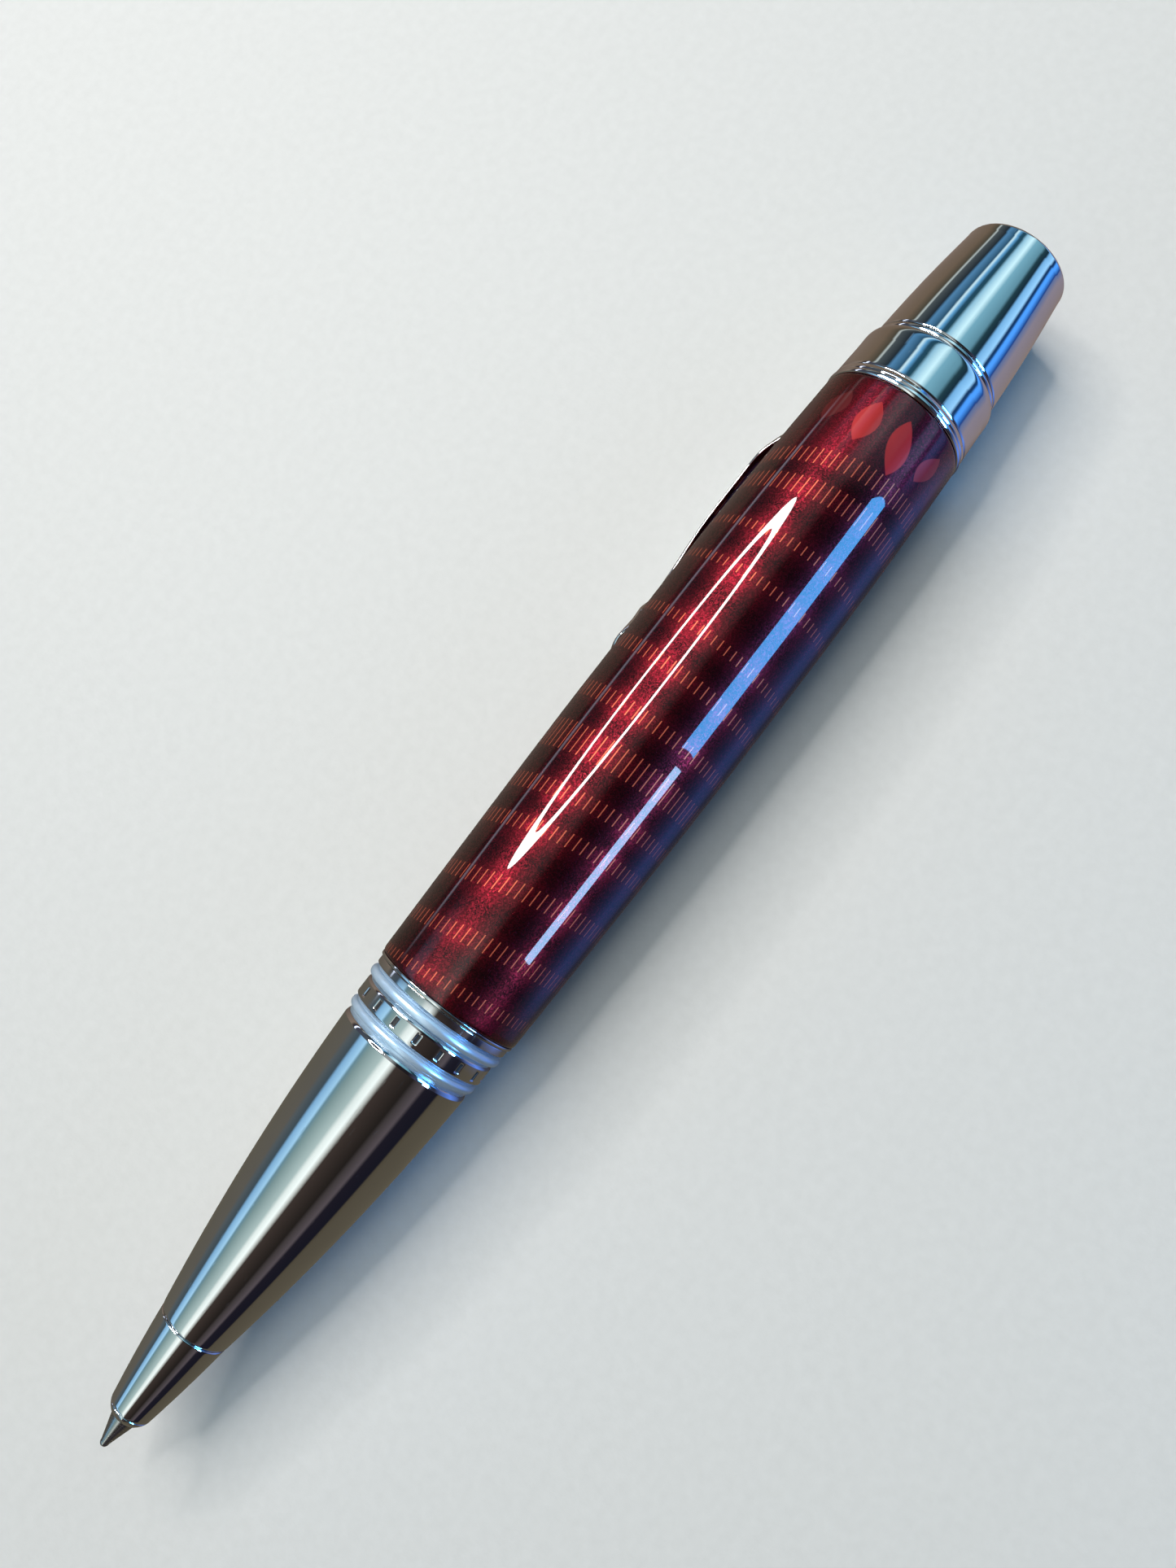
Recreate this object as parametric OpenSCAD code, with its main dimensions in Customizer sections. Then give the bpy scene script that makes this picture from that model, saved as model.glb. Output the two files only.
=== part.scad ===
// Twist-action rollerball pen with a lacquered barrel, lying on its side with its writing point out.
// The pen's axis runs along +X from the writing ball to the end of the twist knob, and +Z is up.
// Every turned piece is drawn about +Z, its place given as a distance from the writing ball's tip,
// and laid down at the end.

/* [Overall] */
// Length from the tip of the ball to the end of the knob
pen_len = 130; // [129:0.5:134]
// Widest diameter of the barrel
barrel_d = 15.1; // [14.9:0.1:16]
// Turn of the knob that draws the refill in, in degrees
twist_turn = 180; // [150:10:200]
// How far the refill is drawn in
refill_travel = 5; // [4:0.5:5]

/* [Nose and front section] */
// Length of the writing point that stands out of the nose
point_out = 3.05; // [2.9:0.05:3.2]
// Distance from the tip to the seam between the nose sleeve and the front cone
nose_seam = 12.1; // [11.8:0.1:12.6]
// Distance from the tip to the wide end of the front cone
cone_end = 40.4; // [40:0.1:40.5]
// Diameter of the front cone at its wide end
cone_d = 12.66; // [12.5:0.02:12.8]
// Diameter of the lower trim ring's bead
lower_ring_d = 13.06; // [12.9:0.02:13.2]
// Diameter of the centre band
band_d = 13.1; // [12.9:0.02:13.2]
// Number of engraved marks round the centre band
band_marks = 18; // [12:2:24]
// Diameter of the upper trim ring's bead
upper_ring_d = 13.68; // [13.4:0.02:13.9]
// Diameter of the thread that joins the front section to the barrel
thread_d = 11.1; // [10.9:0.05:11.2]
// Pitch of that thread
thread_pitch = 0.75; // [0.6:0.05:0.9]

/* [Barrel and collar] */
// Distance from the tip to the front end of the barrel
barrel_start = 45.95; // [45.9:0.01:46]
// Distance from the tip to the rear end of the barrel
barrel_end = 110.1; // [110:0.1:110.2]
// Distance from the tip to the middle of the barrel's widest part
barrel_wide = 81; // [79:0.5:83]
// Distance from the tip to the running gap between the collar and the knob
knob_seam = 116.1; // [116:0.1:116.2]

/* [Twist knob] */
// Diameter of the knob at its base
knob_base_d = 12.6; // [12.4:0.05:12.8]
// Diameter of the knob where its end starts to round off
knob_tip_d = 10.4; // [10:0.1:10.8]
// Diameter of the flat end cap
end_cap_d = 8.8; // [8.4:0.1:9]

/* [Clip] */
// Width of the clip at its bow
clip_w = 4.6; // [4.2:0.1:5]
// Height of the clip's outer face above the pen's axis at its bow
clip_bow_h = 10.8; // [10.5:0.1:11]
// Thickness of the clip at its crown
clip_t = 1.25; // [1.1:0.05:1.4]
// Radius of the clip's domed outer face
clip_dome = 3.2; // [3:0.1:3.6]

/* [Refill] */
// Diameter of the refill tube
refill_d = 6; // [5.8:0.05:6]
// Distance from the tip to the rear end of the refill
refill_end = 98; // [97.5:0.1:98]
// Diameter of the writing ball
ball_d = 0.8; // [0.7:0.05:0.9]

/* [Hidden] */
$fn = 96;

chrome = [0.80, 0.81, 0.83];
steel = [0.62, 0.63, 0.65];
brass = [0.78, 0.62, 0.32];
rubber = [0.08, 0.08, 0.08];

glue_gap = 0.02;      // left between pieces pressed or glued together
run_gap = 0.06;       // radial clearance of pieces that slide or turn
face_gap = 0.05;      // axial gap between pieces that turn past each other
barrel_r = barrel_d / 2;
cone_r = cone_d / 2;

// Front section
neck_end = barrel_start - 0.35;
rim_start = neck_end + face_gap;
coupler_start = 36;
coupler_end = 54;
coupler_r = thread_d / 2;
thread_turns = 6;
thread_start = barrel_start + 1;

// Barrel
barrel_bore_r = 6.45;
liner_r = 5.8;
bush_end = 55.2;

// Mechanism, from the follower's bore outwards
follower_r = 2.6;
tube_bore_r = follower_r + 0.05;
tube_r = 3.3;
cam_bore_r = tube_r + 0.05;
cam_r = 4.1;
bush_bore_r = cam_r + 0.05;
tube_start = 100;
tube_end = 125;
follower_len = 16;
pin_r = 0.6;
pin_s = 112;
slot_r = pin_r + 0.08;
cam_start = 104;
cam_end = 124.2;

// Refill
nib_r = 1.25;
nose_bore_r = nib_r + 0.07;
refill_nose_r = 1.9;
shoulder_s = 30;
spring_seat_s = 16.5;
spring_wire_r = 0.22;
spring_turns = 9;

// Clip: it runs from its knuckle in the clip ring's lug forward to its free end
clip_root_s = barrel_end - 0.1;
clip_tip_s = 79;
clip_root_h = 7.75;
knuckle_r = 0.5;
clip_edge_h = clip_bow_h - clip_dome + sqrt(clip_dome * clip_dome - clip_w * clip_w / 4);
clip_lean = atan(clip_w / 2 / clip_edge_h) + acos(barrel_r / norm([clip_edge_h, clip_w / 2]));
clip_reach = (clip_bow_h - clip_dome) * sin(clip_lean) + clip_dome;
axis_y = -(clip_reach - barrel_r) / 2;

// Radius of the front cone at s from the tip: a straight taper that swells towards the middle
function cone_curve(s) = cone_r - 0.0386 * (cone_end - s) - 0.00246 * pow(cone_end - s, 2);

// Radius of the nose sleeve, which is a little fuller than the cone behind it
function nose_curve(s) =
    cone_curve(nose_seam) - 0.02 - 0.125 * (nose_seam - s) - 0.0042 * pow(nose_seam - s, 2);

// Radius of the barrel: level at its widest, a soft hyperbola in front of that and a parabola behind
barrel_level = 10;
level_start = barrel_wide - barrel_level / 2;
level_end = barrel_wide + barrel_level / 2;
function barrel_curve(s) =
    let (ahead = max(0, level_start - s))
    let (behind = max(0, s - level_end))
    barrel_r - 0.0233 * (sqrt(ahead * ahead + 64) - 8) - 0.0009 * behind * behind;

// Radius of the knob, which tapers with a slight swell
knob_start = knob_seam + 0.65;
knob_round = pen_len - 1.2;
function knob_curve(s) =
    let (t = (s - knob_start) / (knob_round - knob_start))
    (knob_base_d * (1 - t) + knob_tip_d * t) / 2 + 0.12 * sin(180 * t);

// Points [r, s] along a curve from s0 to s1 in n steps
function curve_s(s0, s1, n) = [for (i = [0:n]) s0 + (s1 - s0) * i / n];

// A half circle of radius r that bulges outwards from radius base, between s0 and s1
function bead(base, r_top, s0, s1, n = 8) =
    [for (i = [0:n])
        [base + (r_top - base) * sin(180 * i / n), (s0 + s1) / 2 - (s1 - s0) / 2 * cos(180 * i / n)]];

// Lays a piece drawn about +Z down along +X at the pen's place on the table
module lay_down() {
    translate([-pen_len / 2, axis_y, barrel_r]) rotate([0, 90, 0]) children();
}

// Solid of revolution from outline points [r, s]
module turned(points) {
    rotate_extrude() polygon(points);
}

// Plain tube between two distances from the tip
module tube(r_out, r_in, s0, s1) {
    turned([[r_in, s0], [r_out, s0], [r_out, s1], [r_in, s1]]);
}

// Round bar between two distances from the tip
module bar(r, s0, s1) {
    translate([0, 0, s0]) cylinder(r = r, h = s1 - s0);
}

// ---- Refill ----

// Ground ball that rolls the ink onto the paper
module writing_ball() {
    color(steel) lay_down() translate([0, 0, ball_d / 2]) sphere(d = ball_d);
}

// Drawn steel point: a cone crimped round the ball, a shank, and an ink channel through it
module refill_point() {
    socket_r = ball_d / 2 + 0.03;
    color(steel) lay_down() difference() {
        turned([[0, 0.3], [0.36, 0.3], [nib_r - 0.05, point_out - 0.1], [nib_r, point_out + 0.15],
                [nib_r, 9.6], [0.8, 10], [0.8, 13], [0, 13]]);
        translate([0, 0, ball_d / 2]) sphere(r = socket_r);
        bar(0.25, 0.4, 14);
    }
}

// Plastic front of the refill that carries the point and runs inside the return spring
module refill_nose() {
    color("whitesmoke") lay_down() difference() {
        turned([[0.8 + glue_gap, 10.2], [1.3, 10.2], [refill_nose_r, 11.4], [refill_nose_r, shoulder_s],
                [2.55, shoulder_s], [2.55, 35], [0.8 + glue_gap, 35]]);
        bar(1.3, 13.2, 36);
    }
}

// Thin steel tube that holds the ink
module refill_tube() {
    color(steel) lay_down()
        turned([[2.6, shoulder_s + 0.1], [2.75, shoulder_s + 0.1], [refill_d / 2, shoulder_s + 0.5],
                [refill_d / 2, refill_end - 1.6], [2.6, refill_end - 1.6]]);
}

// Ink, filled from the nose back
module ink_column() {
    color([0.05, 0.06, 0.15]) lay_down() bar(2.58, 35.1, 84);
}

// Clear grease that follows the ink down the tube
module ink_seal() {
    color("lightyellow") lay_down() bar(2.58, 84, 87);
}

// Vented plug that closes the refill's rear end
module refill_plug() {
    color("dimgray") lay_down() difference() {
        turned([[0, refill_end - 5], [2.55, refill_end - 5], [2.55, refill_end - 1.55],
                [refill_d / 2 - 0.05, refill_end - 1.55], [refill_d / 2 - 0.05, refill_end - 0.4],
                [refill_d / 2 - 0.4, refill_end], [0, refill_end]]);
        bar(0.3, refill_end - 6, refill_end + 1);
    }
}

// Plunger that pushes the refill, guided in the mechanism tube
module follower() {
    color("ivory") lay_down() difference() {
        union() {
            bar(follower_r, refill_end + 0.02, refill_end + follower_len - 0.3);
            bar(follower_r - 0.3, refill_end + 1, refill_end + follower_len);
        }
        translate([0, 0, pin_s]) rotate([90, 0, 0]) cylinder(r = pin_r + glue_gap, h = 10, center = true);
    }
}

// Hardened pin through the follower that rides in the cam sleeve's slots
module cross_pin() {
    color(steel) lay_down() translate([0, 0, pin_s]) rotate([90, 0, 0])
        cylinder(r = pin_r, h = 2 * cam_r - 0.3, center = true);
}

// ---- Front section ----

// Radius and turn of the spring's wire at step i
spring_steps = spring_turns * 20;
spring_r = refill_nose_r + run_gap + spring_wire_r + 0.15;
spring_s0 = spring_seat_s + spring_wire_r + 0.02;
spring_s1 = shoulder_s - spring_wire_r - 0.02;
function spring_point(i, a) =
    let (turn = 360 * spring_turns * i / spring_steps)
    let (r = spring_r + spring_wire_r * cos(a))
    [r * cos(turn), r * sin(turn), spring_s0 + (spring_s1 - spring_s0) * i / spring_steps
        + spring_wire_r * sin(a)];

// Return spring round the refill's nose, squeezed while the point is out
module return_spring() {
    sides = 6;
    points = [for (i = [0:spring_steps]) for (k = [0:sides - 1]) spring_point(i, 360 * k / sides)];
    last = spring_steps * sides;
    color(steel) lay_down() polyhedron(
        points = points,
        faces = concat(
            [[for (k = [sides - 1:-1:0]) k]],
            [[for (k = [0:sides - 1]) last + k]],
            [for (i = [0:spring_steps - 1]) for (k = [0:sides - 1])
                [i * sides + k, i * sides + (k + 1) % sides, (i + 1) * sides + (k + 1) % sides,
                 (i + 1) * sides + k]]));
}

// Chromed nose that screws into the cone and guides the point
module nose_sleeve() {
    tenon_r = 2.75;
    color(chrome) lay_down() turned(concat(
        [[nose_bore_r, point_out], [nose_bore_r + 0.1, point_out], [1.7, point_out + 0.3]],
        [for (s = curve_s(point_out + 0.65, nose_seam - 0.15, 14)) [nose_curve(s), s]],
        [[nose_curve(nose_seam) - 0.12, nose_seam - face_gap], [tenon_r, nose_seam - face_gap],
         [tenon_r, spring_seat_s], [refill_nose_r + 0.1, spring_seat_s], [refill_nose_r + 0.1, 10.6],
         [nose_bore_r, 9]]));
}

// Polished metal cone, bored in steps for the refill and the spring
module front_cone() {
    color(chrome) lay_down() turned(concat(
        [[2.77, nose_seam], [cone_curve(nose_seam) - 0.08, nose_seam]],
        [for (s = curve_s(nose_seam + 0.12, cone_end - 0.4, 22)) [cone_curve(s), s]],
        [[cone_r - 0.18, cone_end], [coupler_r + glue_gap, cone_end],
         [coupler_r + glue_gap, coupler_start - 0.05], [4.9, 34], [4.9, 30.5], [4.1, 29.5], [4.1, 23],
         [3.3, 22], [3.3, spring_seat_s + 0.1], [2.77, spring_seat_s + 0.1]]));
}

// Threaded sleeve fixed in the cone, which screws into the barrel and carries the rings
module front_coupler() {
    groove = thread_pitch / 3;
    color(brass) lay_down() difference() {
        tube(coupler_r, 4.9, coupler_start, coupler_end);
        for (i = [0:thread_turns]) translate([0, 0, thread_start + i * thread_pitch]) rotate_extrude()
            polygon([[coupler_r - 0.3, 0], [coupler_r + 0.1, -groove], [coupler_r + 0.1, groove]]);
    }
}

// Turned ring with a rounded bead, drawn on a plain shoulder
module trim_ring(base_r, bead_r, s0, s1, bead0, bead1) {
    color(chrome) lay_down() turned(concat(
        [[coupler_r + glue_gap, s0], [base_r, s0]], bead(base_r, bead_r, bead0, bead1),
        [[base_r, s1], [coupler_r + glue_gap, s1]]));
}

// Thin bead between the cone and the centre band
module lower_ring() {
    trim_ring(6.15, lower_ring_d / 2, cone_end, 41.75, 40.78, 41.52);
}

// Broad polished band with a row of plain engraved marks
module centre_band() {
    band_r = band_d / 2;
    mark_s = 42.65;
    color(chrome) lay_down() difference() {
        turned([[coupler_r + glue_gap, 41.75], [band_r - 0.25, 41.75], [band_r, 41.9], [band_r, 43.4],
                [band_r - 0.22, 43.72], [coupler_r + glue_gap, 43.72]]);
        for (i = [0:band_marks - 1]) rotate([0, 0, 360 * i / band_marks]) translate([band_r, 0, mark_s])
            cube([0.2, 0.35, 0.8], center = true);
    }
}

// Wider bead behind the centre band
module upper_ring() {
    trim_ring(6.35, upper_ring_d / 2, 43.72, 44.9, 43.76, 44.64);
}

// Narrow band that meets the barrel's rim
module neck_ring() {
    neck_r = 6.75;
    color(chrome) lay_down() difference() {
        turned([[coupler_r + glue_gap, 44.9], [neck_r - 0.1, 44.9], [neck_r, 45],
                [neck_r, neck_end - 0.08], [neck_r - 0.08, neck_end], [coupler_r + glue_gap, neck_end]]);
        tube(6.05, coupler_r - 0.1, neck_end - 0.42, neck_end + 1);
    }
}

// Rubber ring in the neck ring's recess that keeps the thread from working loose
module front_o_ring() {
    wire_r = 0.16;
    color(rubber) lay_down() rotate_extrude()
        translate([coupler_r + 0.25, neck_end - 0.2]) circle(r = wire_r, $fn = 24);
}

// ---- Barrel ----

// Brass bush in the front of the barrel, with the thread's bore and the bright rim
module barrel_bush() {
    rim_r = 6.94;
    bore_r = coupler_r + run_gap;
    color(chrome) lay_down()
        turned([[bore_r, rim_start], [rim_r - 0.1, rim_start], [rim_r, rim_start + 0.1],
                [rim_r, barrel_start - glue_gap], [barrel_bore_r - glue_gap, barrel_start - glue_gap],
                [barrel_bore_r - glue_gap, bush_end], [bore_r, bush_end]]);
}

// Drawn brass tube, engraved, flake-lacquered in red and polished
module barrel_shell() {
    edge = 0.12;
    color([0.30, 0.02, 0.03]) lay_down() turned(concat(
        [[barrel_bore_r, barrel_start], [barrel_curve(barrel_start) - edge, barrel_start]],
        [for (s = curve_s(barrel_start + 0.3, level_start, 15)) [barrel_curve(s), s]],
        [for (s = curve_s(level_end, barrel_end - 0.25, 13)) [barrel_curve(s), s]],
        [[barrel_curve(barrel_end) - edge, barrel_end], [barrel_bore_r, barrel_end]]));
}

// Inner tube that stiffens the shell and locates the mechanism
module barrel_liner() {
    color(brass) lay_down() tube(barrel_bore_r - glue_gap, liner_r + glue_gap, bush_end + 0.1, 107.9);
}

// Plastic guide that keeps the refill's rear end central
module refill_guide() {
    guide_bore_r = refill_d / 2 + 0.08;
    color("gainsboro") lay_down() tube(liner_r, guide_bore_r, 78, 92);
}

// Fixed tube of the twist mechanism: a cup for the refill's end in front, and behind it a guide for
// the follower, whose long slots stop the cross pin from turning
module mechanism_tube() {
    color(brass) lay_down() difference() {
        union() {
            tube(liner_r, refill_d / 2 + 0.1, tube_start, cam_start - 0.4);
            tube(liner_r, tube_bore_r, cam_start - 0.9, cam_start - 0.4);
            tube(tube_r, tube_bore_r, cam_start - 0.9, tube_end);
        }
        for (side = [-1, 1]) translate([-slot_r, side > 0 ? 1 : -5, pin_s - slot_r])
            cube([2 * slot_r, 4, refill_travel + 2 * slot_r]);
    }
}

// Spring ring on the end of the mechanism tube that keeps the cam sleeve on
module retaining_ring() {
    color(steel) lay_down() difference() {
        tube(cam_r - 0.2, tube_r + glue_gap, cam_end + face_gap, tube_end - 0.1);
        translate([0, -0.4, cam_end]) cube([5, 0.8, 2]);
    }
}

// Bush that closes the barrel's rear end, carries the clip ring and collar, and guides the cam sleeve
module rear_bush() {
    spigot_r = 5.9;
    ring_seat_r = 4.98;
    color(brass) lay_down()
        turned([[bush_bore_r, 103.6], [liner_r, 103.6], [liner_r, 108], [barrel_bore_r - glue_gap, 108],
                [barrel_bore_r - glue_gap, barrel_end], [spigot_r, barrel_end],
                [spigot_r, knob_seam - 0.4], [ring_seat_r, knob_seam - 0.4],
                [ring_seat_r, knob_seam - 1.3], [bush_bore_r, knob_seam - 1.3]]);
}

// Rubber ring that gives the knob its smooth drag
module friction_ring() {
    wire_r = 0.38;
    color(rubber) lay_down() rotate_extrude() translate([cam_r + 0.06 + wire_r, knob_seam - 0.88])
        circle(r = wire_r, $fn = 32);
}

// Ring clamped between barrel and collar, with the lug that the clip springs from
module clip_ring() {
    ring_r = 6.98;
    lug_w = 3.4;
    color(chrome) lay_down() rotate([0, 0, clip_lean]) difference() {
        union() {
            turned(concat([[5.9 + glue_gap, barrel_end + glue_gap]],
                bead(ring_r - 0.1, ring_r + 0.12, barrel_end + 0.04, barrel_end + 0.6),
                [[ring_r, barrel_end + 0.7], [ring_r, barrel_end + 1.1],
                 [5.9 + glue_gap, barrel_end + 1.1]]));
            difference() {
                translate([6.5, -lug_w / 2, barrel_end + 0.5]) cube([1.75, lug_w, 2]);
                bar(6.97, barrel_end + 1, barrel_end + 4);
                translate([8.3, 0, barrel_end + 2.7]) rotate([0, 45, 0]) cube([1, 6, 1], center = true);
            }
        }
        translate([clip_root_h, 0, clip_root_s]) rotate([90, 0, 0])
            cylinder(r = knuckle_r + 0.08, h = 10, center = true);
    }
}

// Polished collar behind the barrel, rounded off towards the knob
module collar() {
    start = barrel_end + 1.1 + glue_gap;
    start_r = 6.95;
    end_r = 6.78;
    round_r = 0.9;
    color(chrome) lay_down() turned(concat(
        [[5.9 + glue_gap, start], [start_r, start], [end_r + 0.02, knob_seam - round_r - 0.9]],
        [for (a = [0:15:75]) [end_r - 0.35 * (1 - cos(a)), knob_seam - round_r * (1 - sin(a))]],
        [[5.3, knob_seam], [5.3, knob_seam - 0.35], [5.9 + glue_gap, knob_seam - 0.35]]));
}

// ---- Clip ----

// t below is the share of the clip's length, from 0 at its root to 1 at its tip
function ease(t) = let (u = max(0, min(1, t))) u * u * (3 - 2 * u);

// Height of the outer face: it springs up to a long level bow and sinks towards the paddle at the tip
clip_paddle_h = 9.95;
function clip_outer(t) =
    let (root_top = clip_root_h + knuckle_r)
    root_top + (clip_bow_h - root_top) * ease(t / 0.24)
    - (clip_bow_h - clip_paddle_h) * ease((t - 0.42) / 0.42);

// Thickness at the crown: thinner where it leaves the lug and at the rounded tip. The foot under the
// paddle is what rests on the barrel.
foot_t = 0.87;
foot_h = 1.05;
function clip_thick(t) =
    let (near_root = 1 - ease(t / 0.12))
    let (near_tip = ease((t - 0.92) / 0.08))
    let (foot = 1 - ease(abs(t - foot_t) / 0.07))
    clip_t - 0.25 * near_root - 0.3 * near_tip + foot_h * foot;

// Half width: narrow at the root, full at the bow, a waist, and a rounded paddle at the tip
function clip_half(t) =
    let (root = 1.6 + (clip_w / 2 - 1.6) * ease(t / 0.28))
    let (waist = 0.3 * ease((t - 0.5) / 0.28))
    let (paddle = 0.55 * ease((t - 0.79) / 0.05))
    let (tip = t < 0.93 ? 1 : sqrt(max(0.04, 1 - pow((t - 0.93) / 0.0715, 2))))
    (root - waist + paddle) * tip;

// Share of the full dome that the outer face keeps: the paddle is flatter
function clip_flat(t) = 1 - 0.4 * ease((t - 0.77) / 0.06);

// Ring of points round the clip at s: a flat inner face, thin edges and a domed outer face.
// flat scales the dome down where the root rounds off.
function clip_ring_points(s, w, top, low, flat = 1) =
    let (drop = function(y) (clip_dome - sqrt(clip_dome * clip_dome - y * y)) * flat)
    let (edge = min(low + 0.1 * flat, top - drop(w) - 0.02 * flat))
    concat(
        [[low, -w + 0.12, s], [low, w - 0.12, s], [edge, w, s]],
        [for (k = [-4:4]) let (y = -k / 4 * w) [top - drop(y), y, s]],
        [[edge, -w, s]]);

function clip_section(t) =
    clip_ring_points(clip_root_s + (clip_tip_s - clip_root_s) * t, clip_half(t), clip_outer(t),
                     clip_outer(t) - clip_thick(t), clip_flat(t));

// Section of the rounded root at angle a past its centre
function knuckle_section(a) =
    clip_ring_points(clip_root_s + knuckle_r * sin(a), clip_half(0), clip_root_h + knuckle_r * cos(a),
                     clip_root_h - knuckle_r * cos(a), cos(a));

// Bowed spring clip with a domed face; its rounded root seats in the clip ring's lug
module clip() {
    steps = 66;
    rings = concat([for (a = [80:-20:20]) knuckle_section(a)],
                   [for (i = [0:steps]) clip_section(i / steps)]);
    last = len(rings) - 1;
    n = len(rings[0]);
    color(chrome) lay_down() rotate([0, 0, clip_lean]) polyhedron(
        points = [for (ring = rings) for (p = ring) p],
        faces = concat(
            [[for (k = [0:n - 1]) k]],
            [[for (k = [n - 1:-1:0]) last * n + k]],
            [for (i = [0:last - 1]) for (k = [0:n - 1])
                [i * n + k, (i + 1) * n + k, (i + 1) * n + (k + 1) % n, i * n + (k + 1) % n]]));
}

// ---- Knob ----

// Thin bright ring at the knob's base
module knob_base_ring() {
    base_r = knob_base_d / 2;
    color(chrome) lay_down() turned(concat(
        [[4.95, knob_seam + face_gap + 0.05]],
        bead(base_r - 0.1, base_r + 0.06, knob_seam + face_gap + 0.05, knob_start - 0.06),
        [[4.95, knob_start - 0.06]]));
}

// Tapered, polished knob with a rounded shoulder at its end
module twist_knob() {
    round_r = 0.55;
    shoulder_s = pen_len - 0.2 - round_r;
    color(chrome) lay_down() turned(concat(
        [[4.92, knob_start], [knob_base_d / 2, knob_start]],
        [for (s = curve_s(knob_start + 0.2, knob_round, 10)) [knob_curve(s), s]],
        [for (a = [20:20:80])
            [knob_tip_d / 2 - round_r * (1 - cos(a)) - 0.02 * a / 20, shoulder_s + round_r * sin(a)]],
        [[end_cap_d / 2 + glue_gap, pen_len - 0.2], [end_cap_d / 2 + glue_gap, 128.2], [3.9, 128.2],
         [3.9, 127.3], [4.92, 126.8]]));
}

// Brass core pressed into the knob, which holds the cam sleeve
module knob_insert() {
    color(brass) lay_down() tube(4.9, cam_r + glue_gap, knob_start + 0.3, 126);
}

// Turning sleeve of the mechanism; its two helical slots draw the cross pin back
module cam_sleeve() {
    holes = 20;
    color(steel) lay_down() difference() {
        tube(cam_r, cam_bore_r, cam_start, cam_end);
        for (i = [0:holes]) translate([0, 0, pin_s + refill_travel * i / holes])
            rotate([90, 0, -twist_turn * i / holes]) cylinder(r = slot_r, h = 12, center = true, $fn = 24);
    }
}

// Flat cap in the end of the knob
module knob_end_cap() {
    cap_r = end_cap_d / 2;
    color(chrome) lay_down()
        turned([[0, 126.4], [1.5, 126.4], [1.5, 128.22], [cap_r, 128.22], [cap_r, pen_len - 0.3],
                [cap_r - 0.3, pen_len], [0, pen_len]]);
}

writing_ball();
refill_point();
refill_nose();
refill_tube();
ink_column();
ink_seal();
refill_plug();
follower();
cross_pin();
return_spring();
nose_sleeve();
front_cone();
front_coupler();
lower_ring();
centre_band();
upper_ring();
neck_ring();
front_o_ring();
barrel_bush();
barrel_shell();
barrel_liner();
refill_guide();
mechanism_tube();
retaining_ring();
rear_bush();
friction_ring();
clip_ring();
collar();
clip();
knob_base_ring();
twist_knob();
knob_insert();
cam_sleeve();
knob_end_cap();
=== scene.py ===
import math

import bpy
import numpy as np
from mathutils import Matrix, Vector


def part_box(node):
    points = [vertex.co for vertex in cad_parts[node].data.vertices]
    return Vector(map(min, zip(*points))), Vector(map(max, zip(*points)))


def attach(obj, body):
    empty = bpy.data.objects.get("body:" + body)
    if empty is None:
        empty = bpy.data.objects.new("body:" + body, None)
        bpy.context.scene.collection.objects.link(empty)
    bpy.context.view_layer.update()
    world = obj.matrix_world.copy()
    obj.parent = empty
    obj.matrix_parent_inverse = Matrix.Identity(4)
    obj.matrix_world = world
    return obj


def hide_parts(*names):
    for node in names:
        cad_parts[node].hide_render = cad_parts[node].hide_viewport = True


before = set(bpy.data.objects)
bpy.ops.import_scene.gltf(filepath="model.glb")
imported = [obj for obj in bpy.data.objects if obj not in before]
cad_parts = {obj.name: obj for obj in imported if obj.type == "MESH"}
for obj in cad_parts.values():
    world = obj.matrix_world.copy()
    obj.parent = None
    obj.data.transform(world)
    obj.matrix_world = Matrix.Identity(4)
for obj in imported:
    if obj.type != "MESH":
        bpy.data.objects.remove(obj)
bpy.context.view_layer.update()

# ---------------------------------------------------------------------------------------------------
# Camera: it stands close above the pen and a little to the side away from the clip, and the pen
# crosses its picture from the lower left to the upper right. The pen's axis is level, along +X; every
# distance called s is in millimetres along it from the tip of the writing ball.
MM = 0.001
tip_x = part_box("writing_ball")[0][0]
shell_low, shell_high = (np.array(corner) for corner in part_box("barrel_shell"))
axis_y, axis_z = ((shell_low + shell_high) / 2)[1:]
lean = math.radians(9.93)
camera_height = 102.63 * MM
camera_s = 58.92
aim = Vector((tip_x + 67.9 * MM, axis_y + 1.86 * MM, axis_z))
picture_up = Vector((0.7866, 0.5894, 0.1839))
place = Vector((tip_x + camera_s * MM, axis_y - camera_height * math.sin(lean),
                axis_z + camera_height * math.cos(lean)))
back = (place - aim).normalized()
right = picture_up.cross(back).normalized()
up = back.cross(right)
camera = bpy.data.objects.new("camera", bpy.data.cameras.new("camera"))
bpy.context.scene.collection.objects.link(camera)
camera.matrix_world = Matrix.Translation(place) @ Matrix((right, up, back)).transposed().to_4x4()
camera.data.lens = 27.05
camera.data.clip_start = 0.005
bpy.context.scene.camera = camera
bpy.context.scene.view_settings.view_transform = "Standard"


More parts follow.
